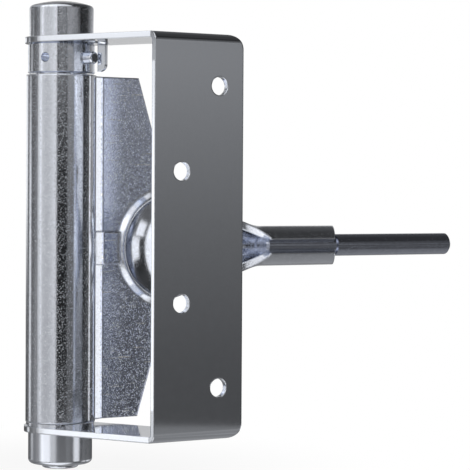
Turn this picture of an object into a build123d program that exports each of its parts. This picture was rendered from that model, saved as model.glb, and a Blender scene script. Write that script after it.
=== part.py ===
from build123d import *
from math import acos, atan2, cos, pi, radians, sin, tan
import os

# Bracket, a folded sheet
sheet = 2.0
web_width = 33.0
outer_height = 132.0
bend_inner = 1.0
corner_radius = 5.0
ear_margin = 0.5

# Screw holes in the web
hole_dia = 6.0
outer_spacing = 98.0
outer_inset = 9.0
inner_spacing = 42.5
inner_inset = 10.0

# Barrel axis, seen from above, from the middle of the web's outer face
axis_x = -26.0
axis_y = 47.5

# Stop tab
tab_angle = -52.0
tab_start = 13.7
tab_width = 2.8
tab_hang = 9.5
tab_window = 11.0
tab_clear = 0.5
tab_bend = 0.6
tab_round = 2.5

# Barrel and leaf, a rolled and pressed sheet
arm_sheet = 3.0
barrel_dia = 23.4
barrel_gap_top = 0.4
barrel_gap_bottom = 0.2
seam_width = 0.5
seam_angle = -38.0
root_fillet = 4.0
root_run = 15.1
root_slope = 22.0
leaf_full = 28.7

# Dish, funnel and socket
dish_reach = 41.0
dish_curve = 30.6
dish_strip = 38.0
bead_width = 3.6
bead_height = 1.4
bead_crest = 0.8
bead_round = 0.5
funnel_length = 39.0
funnel_curves = (15.3, 10.0, 7.2)
funnel_strips = (33.0, 28.0, 25.5)
funnel_steps = (0.28, 0.54, 0.77)
socket_length = 30.5
socket_gap = 4.0
mouth_setback = 4.0

# Dart rib across the leaf's root
rib_half = 5.6
rib_end = 21.5
rib_rise = 0.9
rib_round = 0.6

# Rod, with an upset shank in the socket
rod_dia = 8.0
shank_dia = 8.3
rod_end = 162.7
rod_chamfer = 0.8
relief_dia = 6.8
relief_in = 0.9
relief_out = 0.3

# Collar, pin and top cap
collar_step = 0.45
collar_height = 10.1
collar_edge = 0.5
spigot_length = 9.0
neck_dia = 12.0
neck_grip = 5.5
running = 0.05
tommy_dia = 3.2
tommy_depth = 6.0
tommy_count = 5
tommy_angle = -145.2
pin_dia = 4.2
pin_angle = -67.5
pin_end = 14.6
pin_depth = 5.0
pin_round = 0.7
cap_step = 0.95
cap_height = 12.3
cap_edge = 1.4
cap_dome = 1.8

# Lower end
washer_thick = 1.1
washer_step = 0.2
washer_clear = 0.3
plug_length = 9.0
spindle_dia = 10.0
spindle_head_dia = 12.3
spindle_head = 1.5
low_cap_height = 10.8
low_cap_edge = 1.5

# Spring
wire = 2.2
spring_clear = 0.6
spring_turns = 10
tang_length = 4.0
tang_clear = 0.3

# Derived heights
half = outer_height / 2
ear_in = half - sheet
bend_outer = bend_inner + sheet
collar_low = ear_in - collar_height
barrel_top = collar_low - barrel_gap_top
barrel_low = washer_thick + barrel_gap_bottom - ear_in
barrel_length = barrel_top - barrel_low
arm_height = (barrel_top + barrel_low) / 2
barrel_r = barrel_dia / 2
bore_r = barrel_r - arm_sheet
ear_end_radius = barrel_r + ear_margin
collar_dia = barrel_dia - 2 * collar_step
washer_dia = barrel_dia - 2 * washer_step
cap_dia = barrel_dia - 2 * cap_step
socket_mid = (shank_dia + arm_sheet) / 2
socket_strip = 2 * pi * socket_mid - socket_gap
socket_start = dish_reach + funnel_length
socket_end = socket_start + socket_length
dish_half = dish_strip / (2 * dish_curve)
dish_depth = dish_curve * (1 - cos(dish_half))
rim_r = dish_curve * sin(dish_half)
mouth_r = (dish_curve - arm_sheet / 2) * sin(dish_half)
coil_r = bore_r - spring_clear - wire / 2
spring_top = collar_low - spigot_length
spring_low = barrel_low + plug_length
tang_r = wire / 2


def at_axis(shape):
    return Pos(axis_x, axis_y, 0) * shape


def disc(radius, low, high):
    return Pos(0, 0, low) * extrude(Circle(radius), high - low)


def tangent(start_x, start_y, side):
    dx = start_x - axis_x
    dy = start_y - axis_y
    reach = (dx * dx + dy * dy) ** 0.5
    angle = atan2(dy, dx) + side * acos(ear_end_radius / reach)
    return (axis_x + ear_end_radius * cos(angle), axis_y + ear_end_radius * sin(angle))


def ear_outline():
    near = (-web_width / 2, bend_outer)
    far = (web_width / 2 - corner_radius, bend_outer)
    near_touch = tangent(near[0], near[1], -1)
    far_touch = tangent(far[0], far[1], 1)
    mid_x = axis_x - (near[0] + far[0]) / 2
    mid_y = axis_y - bend_outer
    away = (mid_x * mid_x + mid_y * mid_y) ** 0.5
    back = (axis_x + ear_end_radius * mid_x / away, axis_y + ear_end_radius * mid_y / away)
    edges = [
        Line(near, near_touch),
        ThreePointArc(near_touch, back, far_touch),
        Line(far_touch, far),
        Line(far, near),
    ]
    return make_face(edges)


def folded_web():
    turn = bend_outer * (1 - cos(radians(45)))
    inner = sheet + bend_inner * (1 - cos(radians(45)))
    edges = [
        ThreePointArc((bend_outer, half), (turn, half - turn), (0, half - bend_outer)),
        Line((0, half - bend_outer), (0, bend_outer - half)),
        ThreePointArc((0, bend_outer - half), (turn, turn - half), (bend_outer, -half)),
        Line((bend_outer, -half), (bend_outer, sheet - half)),
        ThreePointArc((bend_outer, sheet - half), (inner, inner - half), (sheet, bend_outer - half)),
        Line((sheet, bend_outer - half), (sheet, half - bend_outer)),
        ThreePointArc((sheet, half - bend_outer), (inner, half - inner), (bend_outer, half - sheet)),
        Line((bend_outer, half - sheet), (bend_outer, half)),
    ]
    return extrude(Plane.YZ * make_face(edges), web_width / 2, both=True)


def corner_cut(side):
    block = Pos(web_width / 2, 0, side * half) * Box(2 * corner_radius, 4 * bend_outer, 2 * corner_radius)
    centre = Pos(web_width / 2 - corner_radius, 0, side * (half - corner_radius))
    keep = centre * Rot(90, 0, 0) * Cylinder(corner_radius, 4 * bend_outer)
    return block - keep


def screw_hole(x, z):
    return Pos(x, 0, z) * Rot(90, 0, 0) * Cylinder(hole_dia / 2, 4 * sheet)


def stop_tab():
    reach = tab_bend + sheet / 2
    low = ear_in - tab_hang
    knee = ear_in - tab_bend
    outer = (tab_bend + sheet) * cos(radians(45))
    inner = tab_bend * cos(radians(45))
    edges = [
        Line((-sheet / 2, low), (sheet / 2, low)),
        Line((sheet / 2, low), (sheet / 2, knee)),
        ThreePointArc((sheet / 2, knee), (reach - inner, knee + inner), (reach, ear_in)),
        Line((reach, ear_in), (reach, half)),
        ThreePointArc((reach, half), (reach - outer, knee + outer), (-sheet / 2, knee)),
        Line((-sheet / 2, knee), (-sheet / 2, low)),
    ]
    tab = extrude(Plane.YZ.offset(tab_start) * make_face(edges), tab_width)
    corner = tab.edges().filter_by(Axis.Y).group_by(Axis.Z)[0].sort_by(Axis.X)[-1]
    tab = fillet(corner, tab_round)
    return at_axis(Rot(0, 0, tab_angle) * tab)


def tab_slot():
    reach = tab_bend + sheet / 2
    length = tab_window + reach
    width = tab_width + 2 * tab_clear
    centre = Pos(tab_start + tab_width / 2, reach - length / 2, ear_in + sheet / 2)
    return at_axis(Rot(0, 0, tab_angle) * centre * Box(width, length, 2 * sheet))


def make_bracket():
    ear = ear_outline()
    body = folded_web()
    body += Pos(0, 0, ear_in) * extrude(ear, sheet)
    body += Pos(0, 0, -half) * extrude(ear, sheet)
    body -= corner_cut(1) + corner_cut(-1)
    outer_x = web_width / 2 - outer_inset
    inner_x = inner_inset - web_width / 2
    for side in (1, -1):
        body -= screw_hole(outer_x, side * outer_spacing / 2)
        body -= screw_hole(inner_x, side * inner_spacing / 2)
    body -= at_axis(disc(neck_dia / 2 + running, ear_in - sheet, half + sheet))
    body -= at_axis(disc(spindle_dia / 2 + running, -half - sheet, sheet - ear_in))
    body -= tab_slot()
    body += stop_tab()
    return body


def root_corner(level):
    slope = tan(radians(root_slope))
    base = level + slope * root_run
    span = (barrel_r ** 2 * (1 + slope ** 2) - base ** 2) ** 0.5
    x = (slope * base + span) / (1 + slope ** 2)
    return (x, slope * x - base)


def barrel_and_leaf():
    front = arm_sheet / 2
    shape = Circle(barrel_r) + Pos(leaf_full / 2, 0) * Rectangle(leaf_full, arm_sheet)
    root_x = (barrel_r ** 2 - front ** 2) ** 0.5
    root = shape.vertices().sort_by_distance((root_x, front))[0]
    shape = fillet(root, root_fillet)
    shape += make_face(Polyline((0, -front), root_corner(front), (root_run, -front), close=True))
    shape -= Circle(bore_r)
    slit = Pos((bore_r + barrel_r) / 2, 0) * Rectangle(2 * arm_sheet, seam_width)
    shape -= Rot(0, 0, seam_angle) * slit
    return Pos(0, 0, barrel_low) * extrude(shape, barrel_length)


def band(strip, curve, depth):
    sweep_half = strip / (2 * curve)
    rise = curve - depth
    outer = curve + arm_sheet / 2
    inner = curve - arm_sheet / 2
    sx = sin(sweep_half)
    sy = cos(sweep_half)
    edges = [
        ThreePointArc((-outer * sx, rise - outer * sy), (0, rise - outer), (outer * sx, rise - outer * sy)),
        Line((outer * sx, rise - outer * sy), (inner * sx, rise - inner * sy)),
        ThreePointArc((inner * sx, rise - inner * sy), (0, rise - inner), (-inner * sx, rise - inner * sy)),
        Line((-inner * sx, rise - inner * sy), (-outer * sx, rise - outer * sy)),
    ]
    return make_face(edges)


def station(reach):
    return Plane(origin=(reach, 0, arm_height), x_dir=(0, 0, 1), z_dir=(1, 0, 0))


def leaf_outline(start):
    tall = barrel_length / 2
    edges = Polyline(
        (start, tall),
        (leaf_full, tall),
        (dish_reach, rim_r),
        (dish_reach, -rim_r),
        (leaf_full, -tall),
        (start, -tall),
        close=True,
    )
    return Plane.XZ * make_face(edges)


def leaf_taper():
    return Pos(0, 0, arm_height) * extrude(leaf_outline(leaf_full - arm_sheet), arm_sheet / 2, both=True)


def mouth_hole():
    return Pos(dish_reach, 0, arm_height) * Rot(90, 0, 0) * Cylinder(mouth_r, 4 * arm_sheet)


def dish_bead():
    front = arm_sheet / 2
    top = front + bead_height
    middle = mouth_r + (bead_width + bead_crest) / 4
    edges = Polyline(
        (mouth_r, 0),
        (mouth_r, front),
        (middle, top),
        (middle + bead_crest, top),
        (mouth_r + bead_width, front),
        (mouth_r + bead_width, 0),
        close=True,
    )
    profile = make_face(edges)
    crest = [v for v in profile.vertices() if v.Y > top - bead_round]
    profile = fillet(crest, bead_round)
    axis = Axis((dish_reach, 0, arm_height), (0, 1, 0))
    ring = revolve(station(dish_reach) * profile, axis, -180)
    blank = extrude(leaf_outline(bore_r), 2 * top, both=True)
    return ring & (Pos(0, 0, arm_height) * blank)


def dish():
    whole = station(dish_reach) * band(dish_strip, dish_curve, dish_depth)
    span = Pos(dish_reach, 0, arm_height + dish_strip / 2) * Box(dish_strip, 4 * dish_curve, dish_strip)
    axis = Axis((dish_reach, 0, arm_height), (0, 1, 0))
    return revolve(whole & span, axis, -180)


def mouth_cut():
    outer = socket_mid + arm_sheet
    edges = Polyline((socket_end, 0), (socket_end, -outer), (socket_end - mouth_setback, -outer), close=True)
    return Pos(0, 0, arm_height) * extrude(make_face(edges), outer, both=True)


def funnel():
    depths = [dish_depth + (socket_mid - dish_depth) * f for f in funnel_steps]
    sections = [station(dish_reach) * band(dish_strip, dish_curve, dish_depth)]
    for step, strip, curve, depth in zip(funnel_steps, funnel_strips, funnel_curves, depths):
        sections.append(station(dish_reach + step * funnel_length) * band(strip, curve, depth))
    last = station(socket_start) * band(socket_strip, socket_mid, socket_mid)
    sections.append(last)
    return loft(sections) + extrude(last, socket_length) - mouth_cut()


def dart_rib():
    top = arm_sheet / 2 + rib_rise
    start = root_corner(top)
    edges = Polyline((start[0], 0), start, (root_run, -top), (rib_end, -top), (rib_end, 0), close=True)
    wedge = extrude(make_face(edges), rib_half, both=True)
    flat = wedge.faces().filter_by(Axis.Y).sort_by(Axis.Y)[0]
    wedge = fillet(flat.edges().filter_by(Axis.X), rib_round)
    return Pos(0, 0, arm_height) * wedge


def make_arm_leaf():
    body = barrel_and_leaf() + leaf_taper() - mouth_hole()
    body += dish()
    body += dish_bead()
    body += funnel()
    body += dart_rib()
    return at_axis(body)


def make_arm_rod():
    shoulder = socket_end + relief_out
    shank_end = socket_end - relief_in
    profile = Polyline(
        (0, socket_start),
        (shank_dia / 2 - rod_chamfer, socket_start),
        (shank_dia / 2, socket_start + rod_chamfer),
        (shank_dia / 2, shank_end),
        (relief_dia / 2, shank_end),
        (relief_dia / 2, shoulder),
        (rod_dia / 2, shoulder),
        (rod_dia / 2, rod_end - rod_chamfer),
        (rod_dia / 2 - rod_chamfer, rod_end),
        (0, rod_end),
        close=True,
    )
    rod = revolve(Plane.XZ * make_face(profile), Axis.Z)
    return at_axis(Pos(0, 0, arm_height) * Rot(0, 90, 0) * rod)


def make_collar():
    body = disc(collar_dia / 2, collar_low, ear_in)
    body = chamfer(body.edges().filter_by(GeomType.CIRCLE), collar_edge)
    body += disc(bore_r - running, spring_top, collar_low)
    body += disc(neck_dia / 2, ear_in, half + neck_grip)
    level = (collar_low + ear_in) / 2
    for count in range(tommy_count - 1):
        reach = Pos(collar_dia / 2, 0, level) * Rot(0, 90, 0) * Cylinder(tommy_dia / 2, 2 * tommy_depth)
        body -= Rot(0, 0, tommy_angle - 360 * count / tommy_count) * reach
    body -= Rot(0, 0, pin_angle) * Pos(collar_dia / 2, 0, level) * Rot(0, 90, 0) * Cylinder(
        pin_dia / 2, 2 * pin_depth
    )
    body -= Pos(coil_r, 0, 0) * disc(tang_r + tang_clear, spring_top, spring_top + tang_length + tang_clear)
    return at_axis(body)


def make_pin():
    start = collar_dia / 2 - pin_depth
    pin = Cylinder(pin_dia / 2, pin_end - start, align=(Align.CENTER, Align.CENTER, Align.MIN))
    pin = fillet(pin.edges().group_by(Axis.Z)[-1], pin_round)
    level = (collar_low + ear_in) / 2
    return at_axis(Rot(0, 0, pin_angle) * Pos(start, 0, level) * Rot(0, 90, 0) * pin)


def make_top_cap():
    crown = half + cap_height
    cap_r = cap_dia / 2
    shoulder = crown - cap_dome
    curve = (cap_r ** 2 + cap_dome ** 2) / (2 * cap_dome)
    middle = crown - curve + (curve ** 2 - cap_r ** 2 / 4) ** 0.5
    edges = [
        Line((0, half), (cap_r, half)),
        Line((cap_r, half), (cap_r, shoulder)),
        ThreePointArc((cap_r, shoulder), (cap_r / 2, middle), (0, crown)),
        Line((0, crown), (0, half)),
    ]
    profile = make_face(edges)
    rim = profile.vertices().sort_by_distance((cap_r, shoulder))[0]
    profile = fillet(rim, cap_edge)
    body = revolve(Plane.XZ * profile, Axis.Z)
    return at_axis(body - disc(neck_dia / 2, half, half + neck_grip))


def make_plug():
    body = disc(bore_r, barrel_low, spring_low) - disc(spindle_dia / 2, barrel_low, spring_low)
    body -= Pos(coil_r, 0, 0) * disc(tang_r + tang_clear, spring_low - tang_length - tang_clear, spring_low)
    return at_axis(body)


def make_spindle():
    low = -half - low_cap_height
    body = disc(spindle_dia / 2, low, spring_low)
    head = disc(spindle_head_dia / 2, low - spindle_head, low)
    head = fillet(head.edges().group_by(Axis.Z)[0], spindle_head / 2)
    return at_axis(body + head)


def make_washer():
    body = disc(washer_dia / 2, -ear_in, washer_thick - ear_in)
    return at_axis(body - disc(spindle_dia / 2 + washer_clear, -ear_in, washer_thick - ear_in))


def make_bottom_cap():
    low = -half - low_cap_height
    body = disc(cap_dia / 2, low, -half)
    body = fillet(body.edges().group_by(Axis.Z)[0], low_cap_edge)
    return at_axis(body - disc(spindle_dia / 2, low, -half))


def make_spring():
    height = spring_top - spring_low - wire
    path = Pos(0, 0, spring_low + wire / 2) * Helix(height / spring_turns, height, coil_r)
    section = Plane(origin=path @ 0, z_dir=path % 0, x_dir=(1, 0, 0)) * Rectangle(wire, wire)
    coil = sweep(section, path, is_frenet=True)
    low_tang = Pos(coil_r, 0, 0) * disc(tang_r, spring_low - tang_length, spring_low + wire / 2)
    high_tang = Pos(coil_r, 0, 0) * disc(tang_r, spring_top - wire / 2, spring_top + tang_length)
    return at_axis(coil + low_tang + high_tang)


os.makedirs("parts", exist_ok=True)
export_step(make_bracket(), "parts/bracket.step")
export_step(make_arm_leaf(), "parts/arm_leaf.step")
export_step(make_arm_rod(), "parts/arm_rod.step")
export_step(make_collar(), "parts/tension_collar.step")
export_step(make_pin(), "parts/locking_pin.step")
export_step(make_top_cap(), "parts/top_cap.step")
export_step(make_spring(), "parts/torsion_spring.step")
export_step(make_plug(), "parts/bottom_plug.step")
export_step(make_spindle(), "parts/spindle.step")
export_step(make_washer(), "parts/bottom_washer.step")
export_step(make_bottom_cap(), "parts/bottom_cap.step")
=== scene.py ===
import math

import bpy
from bpy.props import FloatProperty, FloatVectorProperty, IntProperty, PointerProperty
from mathutils import Matrix, Vector


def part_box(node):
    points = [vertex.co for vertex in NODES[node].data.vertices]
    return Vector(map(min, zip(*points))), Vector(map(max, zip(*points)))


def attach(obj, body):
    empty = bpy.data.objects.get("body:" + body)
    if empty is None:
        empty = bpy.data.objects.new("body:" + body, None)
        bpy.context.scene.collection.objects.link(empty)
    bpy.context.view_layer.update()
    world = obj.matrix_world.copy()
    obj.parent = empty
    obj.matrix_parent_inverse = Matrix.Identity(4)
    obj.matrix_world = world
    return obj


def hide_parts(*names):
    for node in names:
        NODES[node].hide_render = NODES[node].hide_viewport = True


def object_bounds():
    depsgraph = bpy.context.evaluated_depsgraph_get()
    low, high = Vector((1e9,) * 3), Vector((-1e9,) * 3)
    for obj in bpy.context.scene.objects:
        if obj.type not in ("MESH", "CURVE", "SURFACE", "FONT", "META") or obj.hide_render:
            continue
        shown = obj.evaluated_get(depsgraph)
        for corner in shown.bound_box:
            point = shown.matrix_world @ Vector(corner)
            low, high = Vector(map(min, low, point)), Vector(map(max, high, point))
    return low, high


bl_info = {
    "name": "Gate Spring Closer",
    "version": (1, 0, 0),
    "blender": (4, 5, 0),
    "location": "View3D > Sidebar > Gate closer",
    "description": "Dresses the packed gate spring closer in zinc plate and sets its studio",
    "category": "Object",
}

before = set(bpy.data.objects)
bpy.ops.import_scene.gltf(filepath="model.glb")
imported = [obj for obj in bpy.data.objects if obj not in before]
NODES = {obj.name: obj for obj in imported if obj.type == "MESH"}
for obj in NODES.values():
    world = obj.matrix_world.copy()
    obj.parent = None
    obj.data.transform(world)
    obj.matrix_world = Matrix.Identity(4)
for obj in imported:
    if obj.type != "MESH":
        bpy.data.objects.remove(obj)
CAD_BOX = [list(corner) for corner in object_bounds()]
MM = 0.001
AXIS_XY = (-26.0 * MM, 47.5 * MM)

# Where the arm's sheet changes its finish: the drawn dish, the run-in facet at the root, and the flat leaf
DISH = (15.0 * MM, 47.5 * MM, -4.6 * MM)
DISH_INNER, DISH_OUTER = 20.5 * MM, 22.0 * MM
ROOT_X, ROOT_HALF = -13.2 * MM, 2.6 * MM
FLAT_X, FLAT_HALF = 8.0 * MM, 20.0 * MM
DISH_GRAIN = 0.12
ROOT_GRAIN = 0.15

# Patterns of the plate, as features per metre and detail, and the noise range that makes a scratch or a pit
MOTTLE_NOISE = (320, 5)
SPECKLE_NOISE = (1300, 2)
GRAIN_NOISE = (2900, 2)
SCRATCH_NOISE = (1500, 1)
PIT_NOISE = (2600, 1)
SCRATCH_RANGE = (0.17, 0.22)
PIT_RANGE = (0.10, 0.20)
SCRATCH_TURN = (0.0, 0.5, 0.0)
SCRATCH_STRETCH = (0.05, 1.0, 1.0)
WAVE_SHARE = 0.25
BRIGHTEST = (0.97, 0.97, 0.97)
RELIEF_DEPTH = 0.05 * MM
BEVEL_SAMPLES = 6

# Strength of each effect on each finish
BRACKET_ZINC = {"Mottle": 0.05, "Speckle": 0.05, "Roughness": 0.09, "Grain": 0.3}
ROD_ZINC = {"Mottle": 0.15, "Speckle": 0.3, "Roughness": 0.12, "Grain": 0.5, "Spark": 0.6}
TURNED_ZINC = {"Mottle": 0.10, "Speckle": 0.2, "Roughness": 0.08, "Grain": 0.4, "Spark": 0.75}
SATIN_ZINC = {"Mottle": 0.05, "Speckle": 0.1, "Roughness": 0.22, "Grain": 0.4}
PIN_ZINC = {"Mottle": 0.2, "Speckle": 0.1, "Roughness": 0.15, "Grain": 0.5}
SPRING_WIRE = {"Mottle": 0.4, "Speckle": 0.3, "Roughness": 0.35, "Grain": 1.0}
BARREL_ZINC = {"Speckle": 0.2, "Scratch": 0.0, "Mottle": 0.10, "Roughness": 0.08, "Grain": 0.4, "Spark": 0.6}
FLAT_ZINC = {"Speckle": 0.7, "Scratch": 0.8, "Mottle": 0.25, "Roughness": 0.10, "Grain": 0.6, "Spark": 2.6}
RELIEF_EFFECTS = ("Grain", "Spark")

# Steps in a turn of the spring, and sides of its wire
SPIRAL_STEPS = 48
WIRE_SIDES = 12

# Camera, floor and the shadow under the barrel, partly real and partly a painted shadow pool
FRAME_PX = 470
SENSOR_MM = 36
NEAREST = 0.01
FLOOR_GAP = 1.0 * MM
FLOOR_HALF = 6.0
FLOOR_PAINT = (0.8, 0.8, 0.8, 1)
# Reach and depth of the painted shadow pool round the barrel, through which the real shadow also shows
SHADOW_NEAR, SHADOW_FAR = 0.02, 0.12
SHADOW_WHITE = 0.9

# The studio's lights: (azimuth in degrees, level) round the part, and (sine of the elevation, level) upwards
SOFTBOX = (
    ((-180, 0.72), (-170, 0.62), (-160, 0.62), (-148, 0.75), (-138, 0.90), (-133, 0.85), (-129, 0.0),
     (156, 0.0), (160, 0.45), (163, 0.80), (170, 0.90), (171.5, 1.15), (175, 1.15), (176.5, 0.80),
     (180, 0.72)),
    ((-1.0, 0.1), (-0.30, 0.1), (-0.20, 0.4), (-0.118, 0.72), (-0.07, 0.79), (-0.04, 0.87), (0.02, 0.95),
     (0.50, 1.0), (0.75, 0.1)),
)
BACKDROP = (
    ((-12, 0.0), (2, 0.10), (14, 0.22), (35, 0.36), (50, 0.56), (95, 0.50), (104, 0.05), (108, 0.0)),
    ((-1.0, 0.2), (-0.20, 0.3), (-0.12, 0.08), (-0.06, 0.30), (0.0, 1.9), (0.06, 2.2), (0.085, 1.0),
     (0.30, 0.8), (0.50, 0.1)),
)
SHADE = (
    ((-180, 0.0), (-130, 0.0), (-126, 0.015), (-101, 0.015), (-98, 0.0), (-48, 0.0), (-44, 0.020),
     (95, 0.020), (108, 0.10), (140, 0.12), (150, 0.18), (154, 0.26), (157.5, 0.0)),
    ((-0.50, 0.5), (-0.10, 1.5), (0.0, 1.0), (0.30, 1.2), (0.50, 1.0)),
)
WINDOW = (
    ((-98, 0.0), (-95, 1.0), (-75, 1.0), (-62, 0.90), (-55, 0.85), (-48, 0.80), (-45, 0.0)),
    ((-0.30, 0.0), (-0.127, 0.085), (-0.085, 0.100), (-0.024, 0.16), (0.044, 0.26), (0.078, 0.33),
     (0.090, 0.0)),
)
HIGH_WINDOW = (
    ((-100, 0.0), (-97, 1.0), (-75, 0.95), (-62, 0.65), (-57, 0.50), (-54, 0.0)),
    ((0.080, 0.0), (0.090, 0.38), (0.20, 0.38), (0.25, 0.05), (0.50, 0.0)),
)
COLLAR_SHADE = (
    ((-128, 0.0), (-126, 1.0), (-101, 1.0), (-98, 0.0)),
    ((0.040, 0.0), (0.056, 0.27), (0.076, 0.27), (0.084, 0.20), (0.30, 0.20), (0.50, 0.0)),
)
ROD_CARD = (
    ((-64, 0.0), (-61, 1.0), (-46, 1.0), (-42, 0.0)),
    ((0.110, 0.0), (0.140, 0.10), (0.30, 0.10), (0.42, 0.06), (0.50, 0.0)),
)
BARREL_EDGE = (
    ((-34, 0.0), (-25, 1.0), (2, 1.0), (10, 0.4), (16, 0.0)),
    ((-0.15, 0.02), (-0.06, 0.03), (0.050, 0.06), (0.070, 0.04), (0.077, 0.0)),
)
EDGE_CARD = (
    ((114, 0.0), (116, 1.0), (127, 1.0), (129, 0.0)),
    ((-0.15, 0.0), (-0.13, 0.7), (0.020, 0.8), (0.050, 0.4), (0.080, 0.4), (0.085, 0.0)),
)
TABLE = (
    ((-30, 0.0), (-27, 1.0), (-13, 1.0), (-11.5, 0.0), (-5, 0.0), (-4, 1.0), (10, 1.0), (20, 0.2),
     (30, 0.0)),
    ((-0.44, 0.0), (-0.38, 0.9), (-0.21, 0.9), (-0.19, 0.0)),
)
LOW_CARD = (
    ((-180, 0.25), (-150, 0.25), (-143, 0.20), (-84, 0.20), (-74, 0.0), (163, 0.0), (168, 0.25),
     (180, 0.25)),
    ((-0.30, 0.3), (-0.22, 0.8), (-0.165, 1.0), (-0.143, 1.0), (-0.135, 0.0)),
)
FLOOR_GLOW = (
    ((-180, 1.0), (180, 1.0)),
    ((-1.0, 0.22), (-0.70, 0.22), (-0.56, 0.10), (-0.24, 0.12), (-0.165, 0.11), (-0.150, 0.0)),
)
FLOOR_LEFT = (
    ((-180, 0.85), (-90, 0.85), (-72, 0.5), (-66, 0.0), (160, 0.0), (170, 0.85), (180, 0.85)),
    ((-1.0, 1.0), (-0.50, 1.0), (-0.38, 0.0)),
)
CEILING = (
    ((-180, 1.0), (-90, 1.0), (-76, 0.8), (-70, 0.03), (80, 0.03), (95, 0.35), (150, 0.35), (165, 1.0),
     (180, 1.0)),
    ((0.30, 0.0), (0.42, 0.9), (1.0, 0.9)),
)
LIGHTS = (
    SOFTBOX, BACKDROP, SHADE, WINDOW, HIGH_WINDOW, COLLAR_SHADE, ROD_CARD, BARREL_EDGE, EDGE_CARD,
    TABLE, LOW_CARD, FLOOR_GLOW, FLOOR_LEFT, CEILING,
)

# The part of the white background that stands behind the piece, and shows in its metal
WHITE_BACK = (
    ((35, 0.0), (45, 1.0), (95, 1.0), (104, 0.0)),
    ((-0.02, 0.0), (0.0, 1.0), (0.080, 1.0), (0.090, 0.0)),
)

# Lamps close to the part, in millimetres: lit node, place, aim, width, height and level
LAMPS = {
    "ear_lamp": ("bracket", (52, 150, 53), (-0.47, -0.88, 0.08), 34, 20, 0.40),
    "edge_lamp": ("bracket", (-16, 28, 0), (0.50, -0.87, 0.0), 44, 116, 0.50),
    "bend_lamp": ("bracket", (38, -62, -98), (-0.48, 0.78, 0.40), 64, 58, 0.14),
    "low_ear_lamp": ("bracket", (-115, 21, -76), (0.99, 0.0, 0.12), 64, 24, 0.40),
    "strip_lamp": ("arm_leaf", (30, 31.5, -4), (-0.60, 0.80, 0.0), 8, 134, 1.12),
    "rim_lamp": ("arm_leaf", (45, 38.5, -5.6), (-0.97, 0.24, 0.0), 9, 6, 1.0),
    "left_lamp": ("bottom_cap", (-115, 28, -82), (0.98, 0.17, 0.14), 56, 30, 0.66),
    "cap_lamp": ("bottom_cap", (21, -30, -81), (-0.53, 0.85, 0.14), 36, 24, 0.95),
}


class CloserFinish(bpy.types.PropertyGroup):
    """Colours and textures of the plated steel"""

    sheet_colour: FloatVectorProperty(
        name="Sheet zinc", description="Zinc plate on the folded bracket", subtype="COLOR",
        size=4, min=0, max=1, default=(0.77, 0.80, 0.86, 1))
    leaf_colour: FloatVectorProperty(
        name="Leaf zinc", description="Zinc plate on the barrel, dish and socket", subtype="COLOR",
        size=4, min=0, max=1, default=(0.76, 0.79, 0.86, 1))
    flat_colour: FloatVectorProperty(
        name="Flat zinc", description="Bluer plate on the flat of the arm's sheet", subtype="COLOR",
        size=4, min=0, max=1, default=(0.73, 0.78, 0.94, 1))
    turned_colour: FloatVectorProperty(
        name="Turned zinc", description="Zinc plate on the turned pieces and pin", subtype="COLOR",
        size=4, min=0, max=1, default=(0.77, 0.80, 0.87, 1))
    # The rod's plate is darkened overall as painted shade, standing in for the dark reflection along the
    # rod's top
    rod_painted_shade_colour: FloatVectorProperty(
        name="Rod steel", description="Darker plate on the drawn rod", subtype="COLOR",
        size=4, min=0, max=1, default=(0.53, 0.56, 0.65, 1))
    spring_colour: FloatVectorProperty(
        name="Spring wire", description="Dark oiled spring wire", subtype="COLOR",
        size=4, min=0, max=1, default=(0.10, 0.10, 0.11, 1))


class CloserSpring(bpy.types.PropertyGroup):
    """Sizes of the torsion spring"""

    turns: IntProperty(name="Turns", description="Turns of the coil", default=10, min=1)
    wire: FloatProperty(
        name="Wire", description="Diameter of the spring wire", unit="LENGTH", default=2.2 * MM)
    tang: FloatProperty(
        name="Tang", description="Length of the straight end that stands in the collar or plug",
        unit="LENGTH", default=4.0 * MM)


class CloserStudio(bpy.types.PropertyGroup):
    """Camera of the product shot"""

    focal_px: FloatProperty(
        name="Focal length", description="Focal length in pixels of a 470 pixel frame",
        default=1920, min=100)
    yaw: FloatProperty(
        name="Yaw", description="Turn of the view from +Y towards +X", subtype="ANGLE",
        default=math.radians(31.55))
    pitch: FloatProperty(
        name="Pitch", description="Tilt of the view, up positive", subtype="ANGLE",
        default=math.radians(-1.36))
    roll: FloatProperty(
        name="Roll", description="Turn about the line of sight", subtype="ANGLE",
        default=math.radians(0.33))
    place: FloatVectorProperty(
        name="Camera place", description="Camera position in the part's frame", subtype="XYZ",
        unit="LENGTH", size=3, default=(-0.3141, -0.5337, 0.01555))


def link(obj):
    bpy.context.scene.collection.objects.link(obj)
    return obj


def new_material(name):
    mat = bpy.data.materials.new(name)
    mat.use_nodes = True
    tree = mat.node_tree
    tree.nodes.clear()
    return mat, tree


def add(tree, kind, **values):
    node = tree.nodes.new(kind)
    for key, value in values.items():
        setattr(node, key, value)
    return node


def combine(tree, operation, first, second):
    node = add(tree, "ShaderNodeMath", operation=operation)
    tree.links.new(first, node.inputs[0])
    tree.links.new(second, node.inputs[1])
    return node.outputs[0]


def noise(group, vector, scale, detail):
    """Noise about zero"""
    tex = add(group, "ShaderNodeTexNoise")
    tex.inputs["Scale"].default_value = scale
    tex.inputs["Detail"].default_value = detail
    group.links.new(vector, tex.inputs["Vector"])
    centre = add(group, "ShaderNodeMath", operation="SUBTRACT")
    centre.inputs[1].default_value = 0.5
    group.links.new(tex.outputs["Fac"], centre.inputs[0])
    return centre.outputs[0]


def peaks(group, value, limits):
    """The highest parts of a pattern, from 0 at the lower limit to 1 at the upper one"""
    cut = add(group, "ShaderNodeMapRange")
    cut.inputs["From Min"].default_value, cut.inputs["From Max"].default_value = limits
    group.links.new(value, cut.inputs["Value"])
    return cut.outputs["Result"]


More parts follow.
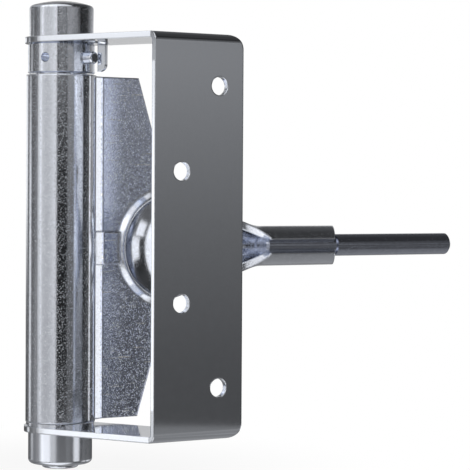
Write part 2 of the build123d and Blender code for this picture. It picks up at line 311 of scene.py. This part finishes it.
def zinc_group():
    """Mottled, speckled, scratched and pitted zinc: colour, roughness and height from Object coordinates"""
    if "zinc_plate" in bpy.data.node_groups:
        return bpy.data.node_groups["zinc_plate"]
    group = bpy.data.node_groups.new("zinc_plate", "ShaderNodeTree")
    face = group.interface
    for name, kind in (("Colour", "NodeSocketColor"), ("Mottle", "NodeSocketFloat"),
                       ("Speckle", "NodeSocketFloat"), ("Scratch", "NodeSocketFloat"),
                       ("Roughness", "NodeSocketFloat"), ("Grain", "NodeSocketFloat"),
                       ("Spark", "NodeSocketFloat")):
        face.new_socket(name, in_out="INPUT", socket_type=kind)
    for name, kind in (("Colour", "NodeSocketColor"), ("Roughness", "NodeSocketFloat"),
                       ("Height", "NodeSocketFloat")):
        face.new_socket(name, in_out="OUTPUT", socket_type=kind)
    into = add(group, "NodeGroupInput").outputs
    out = add(group, "NodeGroupOutput").inputs
    coord = add(group, "ShaderNodeTexCoord").outputs["Object"]
    wide = noise(group, coord, *MOTTLE_NOISE)
    spots = noise(group, coord, *SPECKLE_NOISE)
    fine = noise(group, coord, *GRAIN_NOISE)
    lay = add(group, "ShaderNodeMapping")
    lay.inputs["Rotation"].default_value = SCRATCH_TURN
    lay.inputs["Scale"].default_value = SCRATCH_STRETCH
    group.links.new(coord, lay.inputs["Vector"])
    lines = peaks(group, noise(group, lay.outputs["Vector"], *SCRATCH_NOISE), SCRATCH_RANGE)
    scratch = combine(group, "MULTIPLY", lines, into["Scratch"])
    mottle = combine(group, "MULTIPLY", wide, into["Mottle"])
    speckle = combine(group, "MULTIPLY", spots, into["Speckle"])
    level = add(group, "ShaderNodeMath", operation="ADD")
    level.inputs[1].default_value = 1.0
    tone = combine(group, "ADD", combine(group, "ADD", mottle, speckle), scratch)
    group.links.new(tone, level.inputs[0])
    shade = add(group, "ShaderNodeVectorMath", operation="SCALE")
    group.links.new(into["Colour"], shade.inputs[0])
    group.links.new(level.outputs[0], shade.inputs["Scale"])
    safe = add(group, "ShaderNodeVectorMath", operation="MINIMUM")
    safe.inputs[1].default_value = BRIGHTEST
    group.links.new(shade.outputs["Vector"], safe.inputs[0])
    group.links.new(safe.outputs["Vector"], out["Colour"])
    rough = add(group, "ShaderNodeMath", operation="MULTIPLY_ADD")
    group.links.new(wide, rough.inputs[0])
    group.links.new(into["Mottle"], rough.inputs[1])
    group.links.new(into["Roughness"], rough.inputs[2])
    group.links.new(rough.outputs[0], out["Roughness"])
    wave = add(group, "ShaderNodeMath", operation="MULTIPLY")
    wave.inputs[1].default_value = WAVE_SHARE
    group.links.new(wide, wave.inputs[0])
    relief = combine(group, "ADD", combine(group, "ADD", fine, wave.outputs[0]), scratch)
    grain = combine(group, "MULTIPLY", relief, into["Grain"])
    pits = peaks(group, noise(group, coord, *PIT_NOISE), PIT_RANGE)
    sparks = combine(group, "MULTIPLY", pits, into["Spark"])
    group.links.new(combine(group, "ADD", grain, sparks), out["Height"])
    return group


def zinc_material(name, colour, effects, bump, rounding=0.0):
    """Plated steel with its effects' strengths, its bump, and a radius that softens its edges"""
    mat, tree = new_material(name)
    plate = add(tree, "ShaderNodeGroup", node_tree=zinc_group())
    plate.inputs["Colour"].default_value = colour
    for effect, strength in effects.items():
        plate.inputs[effect].default_value = strength
    shader = add(tree, "ShaderNodeBsdfPrincipled")
    shader.inputs["Metallic"].default_value = 1.0
    out = add(tree, "ShaderNodeOutputMaterial")
    relief = add(tree, "ShaderNodeBump")
    relief.inputs["Strength"].default_value = bump
    relief.inputs["Distance"].default_value = RELIEF_DEPTH
    tree.links.new(plate.outputs["Colour"], shader.inputs["Base Color"])
    tree.links.new(plate.outputs["Roughness"], shader.inputs["Roughness"])
    tree.links.new(plate.outputs["Height"], relief.inputs["Height"])
    tree.links.new(relief.outputs["Normal"], shader.inputs["Normal"])
    tree.links.new(shader.outputs["BSDF"], out.inputs["Surface"])
    if rounding:
        edge = add(tree, "ShaderNodeBevel", samples=BEVEL_SAMPLES)
        edge.inputs["Radius"].default_value = rounding
        tree.links.new(edge.outputs["Normal"], relief.inputs["Normal"])
    return mat


def near(tree, value, centre, half):
    """1 where a value lies within half of the centre, and 0 elsewhere"""
    node = add(tree, "ShaderNodeMath", operation="COMPARE")
    node.inputs[1].default_value = centre
    node.inputs[2].default_value = half
    tree.links.new(value, node.inputs[0])
    return node.outputs[0]


def between(tree, share, first, second):
    """From first to second as the share goes from 0 to 1"""
    node = add(tree, "ShaderNodeMapRange")
    node.inputs["To Min"].default_value = first
    node.inputs["To Max"].default_value = second
    tree.links.new(share, node.inputs["Value"])
    return node.outputs["Result"]


def polish(tree, flat_colour):
    """Smooth the drawn dish and the leaf's root, and make the flat bluer and more speckled than the barrel"""
    plate = next(node for node in tree.nodes if node.type == "GROUP")
    coord = add(tree, "ShaderNodeTexCoord").outputs["Object"]
    far = add(tree, "ShaderNodeVectorMath", operation="DISTANCE")
    far.inputs[1].default_value = DISH
    tree.links.new(coord, far.inputs[0])
    rim = add(tree, "ShaderNodeMapRange", interpolation_type="SMOOTHSTEP")
    rim.inputs["From Min"].default_value = DISH_INNER
    rim.inputs["From Max"].default_value = DISH_OUTER
    rim.inputs["To Min"].default_value = DISH_GRAIN
    tree.links.new(far.outputs["Value"], rim.inputs["Value"])
    off_dish = rim.outputs["Result"]
    split = add(tree, "ShaderNodeSeparateXYZ")
    tree.links.new(coord, split.inputs[0])
    off_root = between(tree, near(tree, split.outputs["X"], ROOT_X, ROOT_HALF), 1.0, ROOT_GRAIN)
    flat = combine(tree, "MULTIPLY", near(tree, split.outputs["X"], FLAT_X, FLAT_HALF), off_dish)
    tint = add(tree, "ShaderNodeMix", data_type="RGBA")
    tint.inputs["A"].default_value = plate.inputs["Colour"].default_value
    tint.inputs["B"].default_value = flat_colour
    tree.links.new(flat, tint.inputs["Factor"])
    tree.links.new(tint.outputs["Result"], plate.inputs["Colour"])
    rough = combine(tree, "MULTIPLY", off_dish, off_root)
    for effect, flat_strength in FLAT_ZINC.items():
        strength = between(tree, flat, plate.inputs[effect].default_value, flat_strength)
        if effect in RELIEF_EFFECTS:
            strength = combine(tree, "MULTIPLY", strength, rough)
        tree.links.new(strength, plate.inputs[effect])


def coat(node, mat):
    mesh = NODES[node].data
    mesh.materials.clear()
    mesh.materials.append(mat)


class CLOSER_OT_bracket(bpy.types.Operator):
    """Plate the folded bracket"""

    bl_idname = "closer.bracket"
    bl_label = "Bracket"

    def execute(self, context):
        finish = context.scene.closer_finish
        sheet = zinc_material(
            "bracket_zinc", finish.sheet_colour, BRACKET_ZINC, bump=0.08, rounding=0.6 * MM)
        coat("bracket", sheet)
        return {"FINISHED"}


class CLOSER_OT_arm(bpy.types.Operator):
    """Plate the barrel, leaf, socket and rod"""

    bl_idname = "closer.arm"
    bl_label = "Arm"

    def execute(self, context):
        finish = context.scene.closer_finish
        leaf = zinc_material("leaf_zinc", finish.leaf_colour, BARREL_ZINC, bump=0.75, rounding=1.0 * MM)
        polish(leaf.node_tree, finish.flat_colour)
        coat("arm_leaf", leaf)
        # The rod's colour carries painted shade: it is darkened overall for the dark reflection along its top
        coat("arm_rod", zinc_material("rod_zinc", finish.rod_painted_shade_colour, ROD_ZINC, bump=0.6))
        return {"FINISHED"}


class CLOSER_OT_turned(bpy.types.Operator):
    """Plate the collar, caps, pin, washer and spindle"""

    bl_idname = "closer.turned"
    bl_label = "Turned pieces"

    def execute(self, context):
        finish = context.scene.closer_finish
        turned = zinc_material("turned_zinc", finish.turned_colour, TURNED_ZINC, bump=0.7)
        for node in ("tension_collar", "top_cap", "bottom_plug", "spindle", "bottom_washer"):
            coat(node, turned)
        coat("bottom_cap", zinc_material("satin_zinc", finish.turned_colour, SATIN_ZINC, bump=0.15))
        coat("locking_pin", zinc_material("pin_zinc", finish.turned_colour, PIN_ZINC, bump=0.15))
        return {"FINISHED"}


COIL_INPUTS = ("Turns", "Coil radius", "Wire radius", "Rise", "Tang")


def coil_tree():
    """Geometry Nodes tree of a coil of round wire with a straight tang at each end"""
    tree = bpy.data.node_groups.new("spring_coil", "GeometryNodeTree")
    tree.is_modifier = True
    face = tree.interface
    face.new_socket("Coil", in_out="OUTPUT", socket_type="NodeSocketGeometry")
    for name in COIL_INPUTS:
        face.new_socket(name, in_out="INPUT", socket_type="NodeSocketFloat")
    face.new_socket("Foot", in_out="INPUT", socket_type="NodeSocketVector")
    face.new_socket("Finish", in_out="INPUT", socket_type="NodeSocketMaterial")
    into = add(tree, "NodeGroupInput").outputs
    out = add(tree, "NodeGroupOutput")
    spiral = add(tree, "GeometryNodeCurveSpiral")
    spiral.inputs["Resolution"].default_value = SPIRAL_STEPS
    spiral.inputs["Reverse"].default_value = False
    for name, source in (("Rotations", "Turns"), ("Start Radius", "Coil radius"),
                         ("End Radius", "Coil radius"), ("Height", "Rise")):
        tree.links.new(into[source], spiral.inputs[name])
    section = add(tree, "GeometryNodeCurvePrimitiveCircle", mode="RADIUS")
    section.inputs["Resolution"].default_value = WIRE_SIDES
    tree.links.new(into["Wire radius"], section.inputs["Radius"])
    wire = add(tree, "GeometryNodeCurveToMesh")
    wire.inputs["Fill Caps"].default_value = True
    tree.links.new(spiral.outputs["Curve"], wire.inputs["Curve"])
    tree.links.new(section.outputs["Curve"], wire.inputs["Profile Curve"])
    join = add(tree, "GeometryNodeJoinGeometry")
    tree.links.new(wire.outputs["Mesh"], join.inputs["Geometry"])
    below = add(tree, "ShaderNodeMath", operation="MULTIPLY")
    below.inputs[1].default_value = -1.0
    tree.links.new(into["Tang"], below.inputs[0])
    beyond = combine(tree, "ADD", into["Rise"], into["Tang"])
    low = add(tree, "ShaderNodeValue")
    low.outputs[0].default_value = 0.0
    for first, last in ((below.outputs[0], low.outputs[0]), (into["Rise"], beyond)):
        line = add(tree, "GeometryNodeCurvePrimitiveLine", mode="POINTS")
        for level, socket in ((first, "Start"), (last, "End")):
            point = add(tree, "ShaderNodeCombineXYZ")
            tree.links.new(into["Coil radius"], point.inputs["X"])
            tree.links.new(level, point.inputs["Z"])
            tree.links.new(point.outputs["Vector"], line.inputs[socket])
        tang = add(tree, "GeometryNodeCurveToMesh")
        tang.inputs["Fill Caps"].default_value = True
        tree.links.new(line.outputs["Curve"], tang.inputs["Curve"])
        tree.links.new(section.outputs["Curve"], tang.inputs["Profile Curve"])
        tree.links.new(tang.outputs["Mesh"], join.inputs["Geometry"])
    place = add(tree, "GeometryNodeTransform")
    tree.links.new(join.outputs["Geometry"], place.inputs["Geometry"])
    tree.links.new(into["Foot"], place.inputs["Translation"])
    smooth = add(tree, "GeometryNodeSetShadeSmooth")
    tree.links.new(place.outputs["Geometry"], smooth.inputs["Geometry"])
    real = add(tree, "GeometryNodeRealizeInstances")
    tree.links.new(smooth.outputs["Geometry"], real.inputs["Geometry"])
    dress = add(tree, "GeometryNodeSetMaterial")
    tree.links.new(real.outputs["Geometry"], dress.inputs["Geometry"])
    tree.links.new(into["Finish"], dress.inputs["Material"])
    tree.links.new(dress.outputs["Geometry"], out.inputs["Coil"])
    return tree


def grown(name, tree, values):
    """A plain mesh object made by a Geometry Nodes tree"""
    maker = link(bpy.data.objects.new(name + "_maker", bpy.data.meshes.new(name + "_maker")))
    grow = maker.modifiers.new("grow", "NODES")
    grow.node_group = tree
    for item in tree.interface.items_tree:
        if item.in_out == "INPUT":
            grow[item.identifier] = values[item.name]
    ready = maker.evaluated_get(bpy.context.evaluated_depsgraph_get())
    mesh = bpy.data.meshes.new_from_object(ready)
    bpy.data.objects.remove(maker)
    mesh.name = name
    return link(bpy.data.objects.new(name, mesh))


class CLOSER_OT_spring(bpy.types.Operator):
    """Wind the torsion spring inside the barrel"""

    bl_idname = "closer.spring"
    bl_label = "Spring"

    def execute(self, context):
        finish = context.scene.closer_finish
        spring = context.scene.closer_spring
        low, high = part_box("torsion_spring")
        thick = spring.wire / 2
        oiled = zinc_material("spring_wire", finish.spring_colour, SPRING_WIRE, bump=0.3)
        coil = grown("coil_spring", coil_tree(), {
            "Turns": float(spring.turns),
            "Coil radius": (high[0] - low[0]) / 2 - thick,
            "Wire radius": thick,
            "Rise": high[2] - low[2] - 2 * spring.tang - spring.wire,
            "Tang": spring.tang + thick,
            "Foot": (AXIS_XY[0], AXIS_XY[1], low[2] + spring.tang + thick),
            "Finish": oiled,
        })
        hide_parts("torsion_spring")
        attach(coil, "arm")
        return {"FINISHED"}


def view_axes(studio):
    yaw, pitch, roll = studio.yaw, studio.pitch, studio.roll
    ahead = Vector((math.sin(yaw) * math.cos(pitch), math.cos(yaw) * math.cos(pitch), math.sin(pitch)))
    right = Vector((math.cos(yaw), -math.sin(yaw), 0))
    up = right.cross(ahead)
    return (
        right * math.cos(roll) + up * math.sin(roll),
        up * math.cos(roll) - right * math.sin(roll),
        ahead,
    )


def make_camera(studio):
    data = bpy.data.cameras.new("product_camera")
    data.sensor_width = SENSOR_MM
    data.sensor_fit = "HORIZONTAL"
    data.lens = SENSOR_MM * studio.focal_px / FRAME_PX
    data.clip_start = NEAREST
    cam = link(bpy.data.objects.new("product_camera", data))
    right, up, ahead = view_axes(studio)
    turn = Matrix((right, up, -ahead)).transposed().to_4x4()
    cam.matrix_world = Matrix.Translation(Vector(studio.place)) @ turn
    bpy.context.scene.camera = cam


def ramp(tree, source, stops):
    node = add(tree, "ShaderNodeValToRGB")
    points = node.color_ramp.elements
    while len(points) > 1:
        points.remove(points[-1])
    points[0].position, level = stops[0]
    points[0].color = (level, level, level, 1)
    for place, level in stops[1:]:
        points.new(place).color = (level, level, level, 1)
    tree.links.new(source, node.inputs["Fac"])
    return node.outputs["Color"]


def upward(stops):
    """Ramp stops from (sine of the elevation, level) pairs"""
    return [((rise + 1) / 2, level) for rise, level in stops]


def around(stops):
    """Ramp stops from (azimuth in degrees, level) pairs"""
    return [(azimuth / 360 + 0.5, level) for azimuth, level in stops]


def make_world():
    """Light the part from the studio's patches, and show the camera a white background"""
    world = bpy.data.worlds.new("studio_world")
    bpy.context.scene.world = world
    world.use_nodes = True
    tree = world.node_tree
    tree.nodes.clear()
    coord = add(tree, "ShaderNodeTexCoord")
    turn = add(tree, "ShaderNodeTexGradient", gradient_type="RADIAL")
    tree.links.new(coord.outputs["Generated"], turn.inputs["Vector"])
    split = add(tree, "ShaderNodeSeparateXYZ")
    tree.links.new(coord.outputs["Generated"], split.inputs[0])
    rise = add(tree, "ShaderNodeMapRange")
    rise.inputs["From Min"].default_value = -1
    tree.links.new(split.outputs["Z"], rise.inputs["Value"])

    def patch(azimuths, rises):
        wide = ramp(tree, turn.outputs["Fac"], around(azimuths))
        tall = ramp(tree, rise.outputs["Result"], upward(rises))
        return combine(tree, "MULTIPLY", wide, tall)

    room = patch(*LIGHTS[0])
    for light in LIGHTS[1:]:
        room = combine(tree, "ADD", room, patch(*light))
    path = add(tree, "ShaderNodeLightPath")
    white = add(tree, "ShaderNodeMix", data_type="FLOAT")
    white.inputs["B"].default_value = 1.0
    mirrored = combine(tree, "MAXIMUM", path.outputs["Is Glossy Ray"], path.outputs["Is Transmission Ray"])
    mirrored = combine(tree, "MULTIPLY", mirrored, patch(*WHITE_BACK))
    seen = combine(tree, "MAXIMUM", path.outputs["Is Camera Ray"], mirrored)
    tree.links.new(seen, white.inputs["Factor"])
    tree.links.new(room, white.inputs["A"])
    back = add(tree, "ShaderNodeBackground")
    back.inputs["Color"].default_value = (1, 1, 1, 1)
    tree.links.new(white.outputs["Result"], back.inputs["Strength"])
    out = add(tree, "ShaderNodeOutputWorld")
    tree.links.new(back.outputs["Background"], out.inputs["Surface"])


def make_lamps():
    """Set the small lamps, each of which lights one node"""
    for name, (node, place, aim, width, height, level) in LAMPS.items():
        data = bpy.data.lights.new(name, "AREA")
        data.shape = "RECTANGLE"
        data.size, data.size_y = width * MM, height * MM
        data.energy = math.pi * level * data.size * data.size_y
        lamp = link(bpy.data.objects.new(name, data))
        turn = Vector(aim).to_track_quat("-Z", "Y").to_matrix().to_4x4()
        lamp.matrix_world = Matrix.Translation(Vector(place) * MM) @ turn
        lit = bpy.data.collections.new(name + "_lit")
        lit.objects.link(NODES[node])
        lamp.light_linking.receiver_collection = lit


def make_floor():
    """A white floor that doesn't show in the metal; near the barrel it blends in its lit paint, which keeps a
    faint real shadow and also paints a faint darker pool by distance
    """
    half = FLOOR_HALF
    low = CAD_BOX[0][2] - FLOOR_GAP
    mesh = bpy.data.meshes.new("floor")
    corners = [(-half, -half, low), (half, -half, low), (half, half, low), (-half, half, low)]
    mesh.from_pydata(corners, [], [(0, 1, 2, 3)])
    floor = link(bpy.data.objects.new("floor", mesh))
    mat, tree = new_material("floor_white")
    path = add(tree, "ShaderNodeLightPath")
    paint = add(tree, "ShaderNodeBsdfDiffuse")
    paint.inputs["Color"].default_value = FLOOR_PAINT
    glow = add(tree, "ShaderNodeEmission")
    glow.inputs["Strength"].default_value = 1.0
    coord = add(tree, "ShaderNodeTexCoord")
    far = add(tree, "ShaderNodeVectorMath", operation="DISTANCE")
    far.inputs[1].default_value = (AXIS_XY[0], AXIS_XY[1], low)
    tree.links.new(coord.outputs["Object"], far.inputs[0])
    # Painted shadow: the floor darkens a little towards the barrel by distance alone, on top of the real
    # shadow in its lit paint
    painted_shadow_fade = add(tree, "ShaderNodeMapRange", interpolation_type="SMOOTHSTEP")
    painted_shadow_fade.inputs["From Min"].default_value = SHADOW_NEAR
    painted_shadow_fade.inputs["From Max"].default_value = SHADOW_FAR
    painted_shadow_fade.inputs["To Min"].default_value = SHADOW_WHITE
    tree.links.new(far.outputs["Value"], painted_shadow_fade.inputs["Value"])
    share = combine(tree, "MULTIPLY", path.outputs["Is Camera Ray"], painted_shadow_fade.outputs["Result"])
    mix = add(tree, "ShaderNodeMixShader")
    tree.links.new(share, mix.inputs[0])
    tree.links.new(paint.outputs[0], mix.inputs[1])
    tree.links.new(glow.outputs[0], mix.inputs[2])
    out = add(tree, "ShaderNodeOutputMaterial")
    tree.links.new(mix.outputs[0], out.inputs["Surface"])
    mesh.materials.append(mat)
    floor.visible_glossy = False


class CLOSER_OT_stage(bpy.types.Operator):
    """Set the camera, the floor and the light"""

    bl_idname = "closer.stage"
    bl_label = "Stage"

    def execute(self, context):
        studio = context.scene.closer_studio
        context.scene.view_settings.view_transform = "Standard"
        make_camera(studio)
        make_world()
        make_lamps()
        make_floor()
        return {"FINISHED"}


class CLOSER_PT_panel(bpy.types.Panel):
    """Lists the steps that dress the gate closer"""

    bl_idname = "CLOSER_PT_panel"
    bl_label = "Gate closer"
    bl_space_type = "VIEW_3D"
    bl_region_type = "UI"
    bl_category = "Gate closer"

    def draw(self, context):
        for name in STEPS:
            self.layout.operator("closer." + name)
        for group in (context.scene.closer_finish, context.scene.closer_spring, context.scene.closer_studio):
            for key in group.__annotations__:
                self.layout.prop(group, key)


STEPS = ("bracket", "arm", "turned", "spring", "stage")
CLASSES = (
    CloserFinish, CloserSpring, CloserStudio, CLOSER_OT_bracket, CLOSER_OT_arm, CLOSER_OT_turned,
    CLOSER_OT_spring, CLOSER_OT_stage, CLOSER_PT_panel,
)


def register():
    for cls in CLASSES:
        bpy.utils.register_class(cls)
    bpy.types.Scene.closer_finish = PointerProperty(type=CloserFinish)
    bpy.types.Scene.closer_spring = PointerProperty(type=CloserSpring)
    bpy.types.Scene.closer_studio = PointerProperty(type=CloserStudio)


def unregister():
    del bpy.types.Scene.closer_finish
    del bpy.types.Scene.closer_spring
    del bpy.types.Scene.closer_studio
    for cls in reversed(CLASSES):
        bpy.utils.unregister_class(cls)


def main():
    register()
    for name in STEPS:
        getattr(bpy.ops.closer, name)()


if __name__ == "__main__":
    main()
